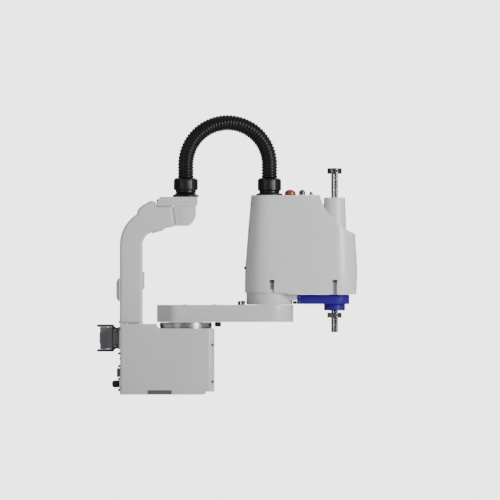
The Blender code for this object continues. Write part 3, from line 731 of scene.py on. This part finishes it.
def lever(name, sign):
    """A locking lever: a bar across the hood, on two cheeks that turn on the pins."""
    node = "connector_lever_" + name
    low, high = cad(node)
    pivot = LEVER_Z[name]
    bar_low, bar_high = sorted((pivot + sign * 8.4, pivot + sign * 15.2))
    bar = box((low.x, low.y, bar_low), (-193.0, high.y, bar_high))
    soften(bar, 2.3, 4)
    outline = arc(LEVER_X, pivot, 5.0, sign * -150, sign * 50, 12)
    outline += [(-190.5, pivot + sign * 10.5), (-200.0, pivot + sign * 10.5)]
    cheeks = [soften(slab(outline, y - 1.0, y + 1.0, upright=True), 0.5, 2, 50)
              for y in (-22.8, 22.8)]
    above_low, above_high = (3.2, 0.4) if sign > 0 else (-0.4, -3.2)
    grips = [box((x, -16, bar_low + above_low), (x + 1.2, 16, bar_high + above_high))
             for x in (-236.0, -233.0, -230.0, -227.0)]
    cut(bar, *grips)
    keep(merged(bar, *cheeks), node + "_forged", "lever_black", "lever_" + name, [node])


def small_sockets():
    """The signal socket, the power plug and the screws of the rear panel."""
    low, high = cad("signal_socket")
    shell = soften(box((low.x, low.y, low.z), (high.x, high.y, high.z)), 1.2)
    cut(shell, box((low.x - 1, low.y + 3, low.z + 3.5), (low.x + 3, high.y - 3, high.z - 3.5)))
    keep(shell, "signal_socket_shell", "dark_recess", "base", ["signal_socket"])
    posts = [socket_screw((-177.0, 0, z), 3.2, 5.5, "-X") for z in (42.5, 77.0, 111.0, 12.6)]
    keep(merged(*posts), "rear_panel_screws", "screw_steel", "base")
    low, high = cad("power_plug")
    middle = (low.z + high.z) / 2
    length = high.x - low.x
    profile = [(0, length), (5.0, length), (7.4, length - 1.4), (8.8, length - 4.0)]
    profile += [(9.6, length - 7.5), (10, length - 10.5), (10, 7.5), (9.2, 7.0), (9.2, 6.0)]
    profile += [(10, 5.5), (10, 0), (0, 0)]
    plug = turned(profile, (high.x, 0, middle), "-X", 64)
    grooves = []
    for i in range(18):
        groove = box((low.x + 6, 9.3, -0.6), (high.x - 8, 12, 0.6))
        groove.data.transform(Matrix.Rotation(math.radians(20 * i), 4, "X"))
        groove.data.transform(Matrix.Translation((0, 0, middle * MM)))
        grooves.append(groove)
    cut(plug, merged(*grooves))
    keep(plug, "power_plug_knurled", "black_rubber", "base", ["power_plug"])
    low, _ = cad("base_rear_panel")
    heads = [socket_screw((low.x + 0.2, y, z), 2.8, 1.6, "-X")
             for y in (-52, 52) for z in (18, 97, 176)]
    keep(merged(*heads), "rear_cover_screws", "screw_steel", "base")


# ---------------------------------------------------------------- inner arm


def arm_outline(half, rear, reach=34.0, fillet=32.0):
    """The inner arm's plan: a round end about the elbow, a chamfered end behind the first axis."""
    bend_x = rear + reach + fillet * 0.7071
    upper = arc(bend_x, half - fillet, fillet, 90, 135, 12)
    y = upper[-1][1] - (upper[-1][0] - rear - 4)
    upper += [(rear + 4, y), (rear + 2.2, y - 2.2), (rear + 0.6, y - 4.6), (rear, y - 7.5)]
    lower = [(x, -y) for x, y in reversed(upper)]
    return arc(J2_X, 0, half, -90, 90, 48) + upper + lower


def inner_arm():
    """The inner arm with its cover screws and the stops of the second axis."""
    low, high = cad("arm_1_casting")
    seam = high.z
    top = cad("arm_1_cover")[1].z
    shape = arm_outline(64.0, low.x)
    slim = arm_outline(63.6, low.x + 0.4)
    rings = [(low.z, shape), (seam - 0.5, shape), (seam, slim), (seam + 0.5, shape), (top, shape)]
    body = loft(rings)
    soften(body, 2.4, segments=3, angle=60)
    cut(body, turned([(0, top + 4), (47, top + 4), (47, top - 3), (0, top - 3)], (J2_X, 0, 0)))
    keep(body, "inner_arm_shell", "housing_paint", "arm_1", ["arm_1_casting", "arm_1_cover"])
    head = [(0, 1.7), (2.5, 1.6), (4.6, 1.0), (5.2, 0), (5.2, -1), (0, -1)]
    heads = [turned(head, (x, y, top), sides=24) for x in (-2, 77, 150) for y in (-50, 50)]
    keep(merged(*heads), "arm_cover_screws", "screw_steel", "arm_1")
    low_b, high_b = cad("j2_stop_bolt_left")
    for side, y in (("left", 16.0), ("right", -16.0)):
        bolt = turned([(0, high_b.z - 2.4), (2.6, high_b.z - 2.4), (2.6, high_b.z),
                       (5.4, high_b.z), (6.0, high_b.z - 0.8), (6.0, low_b.z + 4.2),
                       (4.4, low_b.z + 3.8), (4.4, low_b.z + 2.6), (6.0, low_b.z + 2.2),
                       (6.0, low_b.z), (0, low_b.z)], (154.0, y, 0), sides=36)
        keep(bolt, f"stop_bolt_{side}", "screw_steel", "arm_1", [f"j2_stop_bolt_{side}"])
    lock = socket_screw((143.4, 0, top), 3.8, 10.4)
    keep(lock, "stop_lock_screw", "screw_steel", "arm_1")
    wash = turned([(31, top + 0.1), (45.8, top + 0.1), (45.8, top - 2), (31, top - 2)],
                  (J2_X, 0, 0), closed=True)
    keep(wash, "elbow_seal", "black_rubber", "arm_1")


# ---------------------------------------------------------------- outer arm

TOWER_TOP = 530.5
SKIRT_SCREWS_X = (232.0, 401.0)
COVER_LINE = (
    # height, rear radius about J2, front radius about J3
    (269.5, 66.0, 58.6),
    (300.0, 66.0, 60.2),
    (322.0, 65.9, 61.2),
    (336.0, 65.4, 61.2),
    (350.0, 64.4, 60.4),
    (400.0, 60.6, 57.6),
    (450.0, 56.7, 54.5),
    (537.0, 49.0, 46.2),
)


def cover_rings(inset, low=None, high=None):
    """The cover's outlines moved in by inset, with its end heights set where they are given."""
    rings = []
    for z, rear, front in COVER_LINE:
        rings.append([z, stadium(J2_X, rear - inset, J3_X, front - inset, steps=44)])
    if low is not None:
        rings[0][0] = low
    if high is not None:
        rings[-1][0] = high
    return rings


def nose_block(drop):
    """What lies above the cover's slanted nose, moved down by drop."""
    line = [(360, 537.5), (370, 508), (388, 482.5), (403, 465)]
    line += [(434, 443), (456, 432), (480, 420)]
    points = [(352, 560)] + [(x, z - drop) for x, z in line] + [(480, 560)]
    return slab(points, -90, 90, upright=True)


def cover():
    """The outer arm's tall cover with its shaft tower, skirt slots and screws."""
    _, high = cad("arm_2_cover")
    top = high.z
    shell = loft(cover_rings(0.0, high=top))
    cut(shell, nose_block(0.0))
    soften(shell, 3.4, segments=4, angle=34)
    tower = turned([(0, TOWER_TOP), (27.4, TOWER_TOP), (28.5, TOWER_TOP - 1.2),
                    (31.8, 443), (32.4, 425), (0, 425)], (J3_X, 0, 0), sides=96)
    join(shell, tower)
    inner = loft(cover_rings(3.0, low=255.0, high=top - 3.0))
    cut(inner, nose_block(4.0))
    cut(shell, inner)
    cut(shell, turned([(0, 560), (24, 560), (23, TOWER_TOP - 1), (23, 400), (0, 400)],
                      (J3_X, 0, 0)))
    cut(shell, turned([(0, 560), (18, 560), (18, 500), (0, 500)], (J2_X, 0, 0), sides=48))
    cut(shell, box((100, -90, 250), (268, 90, 274.4)))
    ramp = slab([(267, 250), (278, 250), (278, 269.4), (267.9, 274.4)], -90, 90, upright=True)
    cut(shell, ramp)
    for x in SKIRT_SCREWS_X:
        for side in (-1, 1):
            cut(shell, groove_cutter(x, side))
    keep(shell, "outer_cover_shell", "cover_paint", "arm_2", ["arm_2_cover"], sharp=28)
    shade_pockets = []
    heads = []
    for x, half in zip(SKIRT_SCREWS_X, (60.0, 55.6)):
        for side, axis in ((-1, "-Y"), (1, "Y")):
            face = side * half
            heads.append(socket_screw((x, face - side * 1.0, 305.6), 3.4, 1.8, axis))
            ys = sorted((face - side * 1.4, face - side * 3.4))
            # The slot floors are painted shade, dark where the slots' own shade falls.
            shade_pockets.append(box((x - 7.6, ys[0], 270.5), (x + 7.6, ys[1], 309.6)))
    keep(merged(*shade_pockets), "cover_groove_painted_shade", "seam_shadow", "arm_2")
    keep(merged(*heads), "cover_groove_screws", "screw_steel", "arm_2")
    rear = []
    for z, proud in ((510.0, 0.8), (444.0, 1.0), (341.0, 5.0)):
        radius = rear_radius(z)
        edge = J2_X - radius
        for y in (-14.0, 14.0):
            lean = radius - math.sqrt(radius ** 2 - y * y)
            rear.append(socket_screw((edge + lean + 1.0, y, z), 4.0, proud + 1.0, "-X"))
    keep(merged(*rear), "cover_rear_screws", "screw_steel", "arm_2")


def rear_radius(z):
    """The cover's rear radius at a height."""
    for (z0, r0, _), (z1, r1, _) in zip(COVER_LINE, COVER_LINE[1:]):
        if z0 <= z <= z1:
            return r0 + (r1 - r0) * (z - z0) / (z1 - z0)
    return COVER_LINE[-1][1]


def groove_cutter(x, side):
    """A screw slot in the cover's skirt: wide at its head and narrower below."""
    outline = [(x - 5.3, 250), (x + 5.3, 250), (x + 5.3, 299), (x + 7.0, 302), (x + 7.0, 309)]
    outline += [(x - 7.0, 309), (x - 7.0, 302), (x - 5.3, 299)]
    ys = sorted((side * 50.0, side * 80.0))
    return slab(outline, *ys, upright=True)


def outer_casting():
    """The casting under the cover: a hub on the second axis, a deck and a neck."""
    low, high = cad("arm_2_casting")
    hub = turned([(0, 280), (61.4, 280), (61.4, 275.2), (62.0, 274.6), (62.0, low.z + 4.5),
                  (61.2, low.z + 1.2), (60.0, low.z), (0, low.z)], (J2_X, 0, 0), sides=128)
    deck = slab(stadium(J2_X, 60, J3_X, 54), 269.7, high.z)
    join(hub, deck)
    neck = soften(box((262, -34, 253.5), (298.8, 34, 272)), 3.0)
    join(hub, neck)
    cut(hub, turned([(0, 300), (13.5, 300), (13.5, 250), (0, 250)], (J3_X, 0, 0), sides=64))
    keep(hub, "outer_arm_casting", "housing_paint", "arm_2", ["arm_2_casting"])
    pad = soften(box(*cad("j2_stop_bumper")), 1.4, 3)
    keep(pad, "elbow_bumper", "bumper_green", "arm_2", ["j2_stop_bumper"])


def wrist_housing():
    """The blue casting round the shaft, with its screws and seal."""
    low, high = cad("wrist_housing")
    plate_low = 243.7
    outline = rounded(low.x, high.x, low.y, high.y, 8, 39.5, steps=24)
    body = slab(outline, plate_low, high.z)
    soften(body, 1.8, 3, 60)
    boss = turned([(0, 250), (28.5, 250), (28.5, low.z + 1.6), (26.9, low.z), (0, low.z)],
                  (J3_X, 0, 0), sides=96)
    join(body, boss)
    cut(body, turned([(0, 300), (20.5, 300), (20.5, low.z + 4), (14.2, low.z + 4), (14.2, 200),
                      (0, 200)], (J3_X, 0, 0), sides=64))
    for y in (low.y, high.y):
        cut(body, box((313.6, y - 1.4, 240), (315.2, y + 1.4, 272)))
        cut(body, box((408.0, y - 5.0, 261.0), (415.5, y + 5.0, 272)))
    cut(body, box((313.6, -39, plate_low - 1), (315.2, 39, plate_low + 1.0)))
    keep(body, "wrist_casting", "blue_paint", "arm_2", ["wrist_housing"])
    heads = []
    for y, axis in ((low.y, "-Y"), (high.y, "Y")):
        inner = y + (0.6 if y < 0 else -0.6)
        for z in (249.5, 263.0):
            heads.append(socket_screw((306.0, inner, z), 2.2, 1.2, axis))
        heads.append(socket_screw((412.0, y * 0.86, 266.0), 2.4, 3.0, axis))
    for angle in range(0, 360, 60):
        a = math.radians(angle)
        spot = (J3_X + 24.4 * math.cos(a), 24.4 * math.sin(a), low.z + 0.2)
        head = socket_screw((0, 0, 0), 1.9, 1.2)
        flip = Matrix.Rotation(math.pi, 4, "X")
        head.data.transform(Matrix.Translation(Vector(spot) * MM) @ flip)
        heads.append(head)
    keep(merged(*heads), "wrist_screws", "machined_steel", "arm_2")
    seal = turned([(10.4, low.z + 3.4), (14.0, low.z + 3.4), (14.0, low.z + 0.4),
                   (10.4, low.z + 1.0)], (J3_X, 0, 0), sides=64, closed=True)
    keep(seal, "wrist_seal", "black_rubber", "arm_2")


def top_fittings():
    """The lamp, the brake release button and the air fitting on the cover's top."""
    low, high = cad("status_lamp")
    x = (low.x + high.x) / 2
    seam, spring = 539.2, 541  # heights of the dome's foot and of where it starts to curve
    dome = [(0, high.z)]
    for t in range(1, 13):
        a = t / 12 * math.pi / 2
        dome.append((15 * math.sin(a), spring + (high.z - spring) * math.cos(a)))
    dome += [(15, seam), (0, seam)]
    keep(turned(dome, (x, 0, 0), sides=64), "lamp_dome", "lamp_red", "arm_2", ["status_lamp"])
    base_ring = [(0, seam), (15.0, seam), (15.0, low.z - 0.3), (0, low.z - 0.3)]
    keep(turned(base_ring, (x, 0, 0), sides=64), "lamp_base", "black_plastic", "arm_2")

    low, high = cad("brake_button_bezel")
    x = (low.x + high.x) / 2
    bezel = [(6.3, high.z - 0.6), (7.0, high.z), (8.0, high.z), (8.75, high.z - 1.0)]
    bezel += [(8.75, 543.0), (8.2, 542.6), (8.2, 541.4), (8.75, 541.0), (8.75, low.z)]
    bezel += [(6.3, low.z)]
    keep(turned(bezel, (x, 0, 0), sides=64, closed=True), "button_bezel", "screw_steel", "arm_2",
         ["brake_button_bezel"])
    low_b, high_b = cad("brake_release_button")
    cap = [(0, high_b.z - 0.7), (3.0, high_b.z - 0.5), (4.6, high_b.z), (5.4, high_b.z - 0.2),
           (6.0, high_b.z - 0.9), (6.0, low_b.z), (0, low_b.z)]
    keep(turned(cap, (x, 0, 0), sides=64), "button_cap", "black_plastic", "brake_button",
         ["brake_release_button"])

    low, high = cad("air_fitting")
    x = (low.x + high.x) / 2
    hexagon = slab(arc(x, 0, 6.0, 30, 330, 5), low.z, low.z + 4.6)
    soften(hexagon, 0.5, 2)
    stem = [(0, high.z), (2.6, high.z), (3.3, high.z - 0.8), (2.8, high.z - 2.2)]
    stem += [(3.6, high.z - 2.8), (3.6, low.z + 4.0), (0, low.z + 4.0)]
    join(hexagon, turned(stem, (x, 0, 0), sides=32))
    keep(hexagon, "air_nipple", "screw_steel", "arm_2", ["air_fitting"])


# ---------------------------------------------------------------- vertical axis

FLUTE_STEP = 60.0  # degrees from one of the shaft's flutes to the next
FLUTE_AT = -82.0  # degrees from +X of one of them
FLUTE_SPREAD = 0.36  # half a flute's width, as a share of the step
FLUTE_DEPTH = 1.6


def shaft():
    """The fluted shaft, with painted shade in its flutes, and its two collars."""
    low, high = cad("spline_shaft")
    radius = (high.x - low.x) / 2
    outline = []
    for i in range(144):
        a = 2 * math.pi * i / 144
        phase = ((math.degrees(a) - FLUTE_AT) / FLUTE_STEP + 0.5) % 1.0
        dip = max(0.0, 1.0 - abs(phase - 0.5) / FLUTE_SPREAD)
        r = radius - FLUTE_DEPTH * math.sin(dip * math.pi / 2)
        outline.append((J3_X + r * math.cos(a), r * math.sin(a)))
    body = slab(outline, low.z, high.z)
    cut(body, turned([(0, 700), (5, 700), (5, 100), (0, 100)], (J3_X, 0, 0), sides=32))
    keep(body, "splined_shaft", "shaft_steel", "shaft", ["spline_shaft"], sharp=40)
    # The flute faces take the conduit's black: painted shade standing in for the dark stripes of the fluted steel.
    body.data.materials.append(FINISHES["conduit_black"].material)
    for face in body.data.polygons:
        out = math.hypot(face.center.x / MM - J3_X, face.center.y / MM)
        if abs(face.normal.z) < 0.5 and 6.0 < out < radius - 0.35:
            face.material_index = 1
    for node in ("upper_stop_collar", "lower_stop_collar"):
        low_c, high_c = cad(node)
        collar(node, low_c.z, high_c.z, (high_c.x - low_c.x) / 2, radius + 0.1)


def collar(node, low, high, outer, bore):
    """A split clamp collar with its cross screw."""
    profile = [(bore, high), (outer - 1.2, high), (outer, high - 1.2), (outer, low + 1.2),
               (outer - 1.2, low), (bore, low)]
    ring = turned(profile, (J3_X, 0, 0), sides=96, closed=True)
    middle = (low + high) / 2
    slot = box((bore - 2, -0.9, low - 2), (outer + 2, 0.9, high + 2))
    slot.data.transform(Matrix.Rotation(math.radians(-62), 4, "Z"))
    slot.data.transform(Matrix.Translation((J3_X * MM, 0, 0)))
    cut(ring, slot)
    hole = (J3_X + 5.0, -outer + 2.2, middle)
    cut(ring, turned([(0, 6), (3.9, 6), (3.9, -1.5), (0, -1.5)], hole, "-Y", 32))
    soften(ring, 0.35, 1, 50)
    keep(ring, node + "_split", "collar_oxide", "shaft", [node])
    screw = socket_screw(hole, 3.4, 1.6, "-Y")
    keep(screw, node + "_screw", "machined_steel", "shaft")


# ---------------------------------------------------------------- CAD nodes, light, camera


def finish_cad_nodes():
    """The CAD's own solids that stay in view get the same procedural finishes."""
    slots = {entry["node"]: entry["material_slot"] for entry in frame["record"]["subparts"]}
    for node, piece in frame["nodes"].items():
        finish = FINISHES[slots[node]].material
        if not piece.material_slots:
            piece.data.materials.append(finish)
        for slot in piece.material_slots:
            slot.material = finish


def area_light(name, place, target, size, power):
    data = bpy.data.lights.new(name, "AREA")
    data.shape = "RECTANGLE"
    data.size, data.size_y = size
    data.energy = power
    light = bpy.data.objects.new(name, data)
    light.location = place
    light.rotation_mode = "QUATERNION"
    light.rotation_quaternion = (Vector(target) - Vector(place)).to_track_quat("-Z", "Y")
    bpy.context.scene.collection.objects.link(light)


BACKDROP = 3.45  # brightness behind the object, for camera rays only


def studio():
    """A pale floor, a grey surround that is lighter above, and three soft lights."""
    bm = bmesh.new()
    bmesh.ops.create_grid(bm, x_segments=1, y_segments=1, size=20.0)
    floor = from_bmesh(bm)
    floor.name = "floor"
    floor.location.z = -0.0005
    coat = Finish("floor_paper", (0.80, 0.80, 0.80), 0.9).bump(300.0, 0.00002)
    floor.data.materials.append(coat.material)

    world = bpy.data.worlds.new("studio")
    bpy.context.scene.world = world
    world.use_nodes = True
    nodes = world.node_tree.nodes
    links = world.node_tree.links
    surround = nodes["Background"]
    surround.inputs["Strength"].default_value = 1.0
    place = nodes.new("ShaderNodeTexCoord")
    split = nodes.new("ShaderNodeSeparateXYZ")
    sky = nodes.new("ShaderNodeValToRGB")
    sky.color_ramp.elements[0].position = 0.05
    sky.color_ramp.elements[0].color = (0.05, 0.05, 0.05, 1.0)
    sky.color_ramp.elements[1].position = 0.6
    sky.color_ramp.elements[1].color = (0.50, 0.50, 0.50, 1.0)
    links.new(place.outputs["Generated"], split.inputs[0])
    links.new(split.outputs["Z"], sky.inputs["Fac"])
    links.new(sky.outputs["Color"], surround.inputs["Color"])
    backdrop = nodes.new("ShaderNodeBackground")
    backdrop.inputs["Color"].default_value = (1.0, 1.0, 1.0, 1.0)
    backdrop.inputs["Strength"].default_value = BACKDROP
    rays = nodes.new("ShaderNodeLightPath")
    mix = nodes.new("ShaderNodeMixShader")
    links.new(rays.outputs["Is Camera Ray"], mix.inputs[0])
    links.new(surround.outputs[0], mix.inputs[1])
    links.new(backdrop.outputs[0], mix.inputs[2])
    links.new(mix.outputs[0], nodes["World Output"].inputs["Surface"])

    middle = (0.11, 0.0, 0.35)
    area_light("key", (2.25, -2.0, 0.95), middle, (0.9, 1.3), 92.0)
    area_light("left_fill", (-1.9, -2.4, 1.0), middle, (1.4, 1.4), 12.0)
    area_light("back_rim", (0.9, 2.6, 1.8), middle, (2.0, 1.2), 30.0)


VIEW_WIDTH = 1.345  # metres across the picture
EYE = (0.1727, -3.0, 0.3892)


def camera():
    """A level view of the arm's right side, without perspective."""
    data = bpy.data.cameras.new("camera")
    data.type = "ORTHO"
    data.ortho_scale = VIEW_WIDTH
    eye = bpy.data.objects.new("camera", data)
    eye.location = EYE
    eye.rotation_euler = (math.pi / 2, 0.0, 0.0)
    bpy.context.scene.collection.objects.link(eye)
    bpy.context.scene.camera = eye


camera()
studio()
finish_cad_nodes()
base()
first_joint()
column()
column_trim()
glands()
conduit()
connector()
small_sockets()
inner_arm()
cover()
outer_casting()
wrist_housing()
top_fittings()
shaft()
